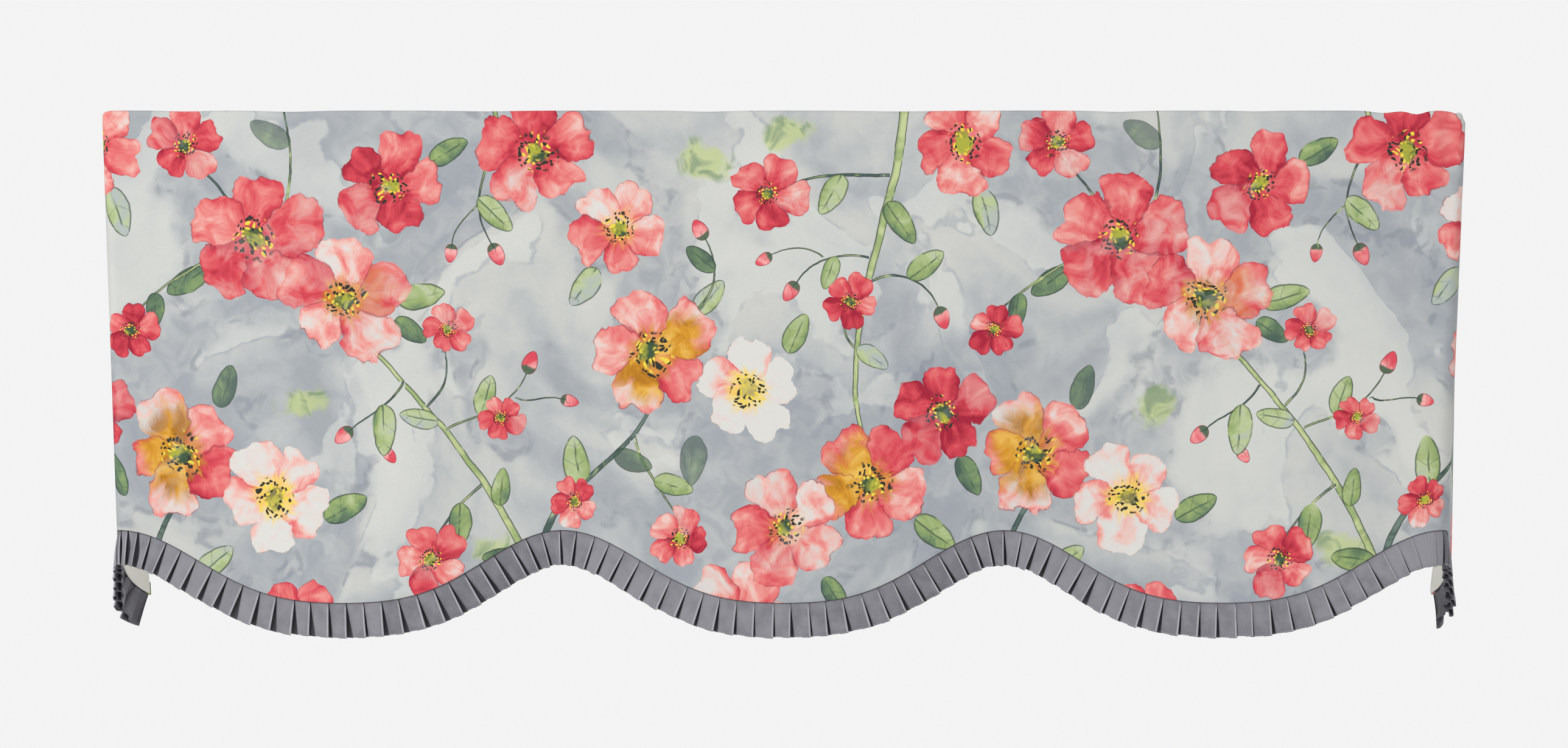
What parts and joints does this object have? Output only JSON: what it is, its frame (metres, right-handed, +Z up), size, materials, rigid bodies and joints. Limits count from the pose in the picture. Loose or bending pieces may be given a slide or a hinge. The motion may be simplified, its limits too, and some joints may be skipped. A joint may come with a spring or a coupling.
{
  "type": "window valance",
  "caption": "Lined fabric window valance with a flat printed front, side returns, a scalloped lower edge and a knife-pleated ribbon trim, hung by its top edge.",
  "frame": {"origin": "middle of the top edge, at the back of the cloth, where it meets what it hangs from", "axes": "+X to the right along the front, +Y towards the wall, +Z up"},
  "size_m": [1.07, 0.1082, 0.4131],
  "materials": {
    "print_cloth": "matt printed cotton, watercolour flowers on a cloudy grey-blue ground",
    "lining_cloth": "plain cream cotton lining, matt",
    "trim_ribbon": "mid-grey ribbon with a low sheen, knife-pleated"
  },
  "bodies": {
    "root": {"face_panel": "print_cloth", "lining": "lining_cloth", "pleated_trim": "trim_ribbon"}
  },
  "joints": []
}
